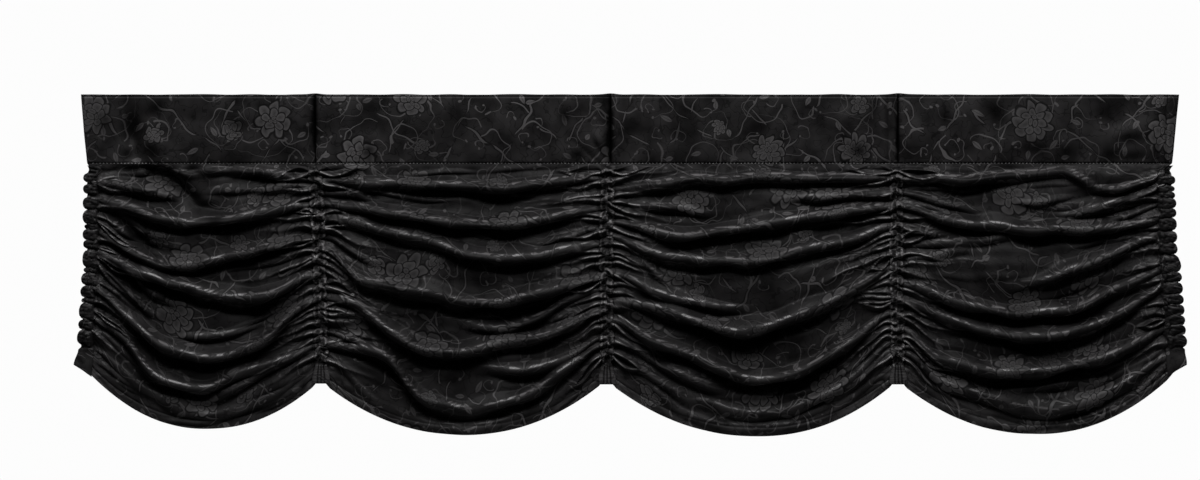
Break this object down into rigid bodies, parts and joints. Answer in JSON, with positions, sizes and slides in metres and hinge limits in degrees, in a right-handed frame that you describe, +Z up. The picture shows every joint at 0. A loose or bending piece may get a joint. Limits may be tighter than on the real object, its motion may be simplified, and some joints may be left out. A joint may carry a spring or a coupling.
{
  "type": "scalloped valance",
  "caption": "Ruched window valance in black floral jacquard: flat heading with a rod pocket, swagged panels gathered along their seams and sides, and a scalloped hem.",
  "frame": {"origin": "middle of the top edge, on the fold over the rod pocket", "axes": "+X along the top edge to the right as seen from the front, +Y towards the wall so the front faces -Y, +Z up"},
  "size_m": [1.384, 0.0383, 0.4259],
  "materials": {
    "jacquard": "black satin jacquard woven with a tone on tone floral pattern"
  },
  "bodies": {
    "root": {"panel_1": "jacquard", "panel_2": "jacquard", "panel_3": "jacquard", "panel_4": "jacquard", "seam_gather_1": "jacquard", "seam_gather_2": "jacquard", "seam_gather_3": "jacquard", "side_gather_left": "jacquard", "side_gather_right": "jacquard"}
  },
  "joints": []
}
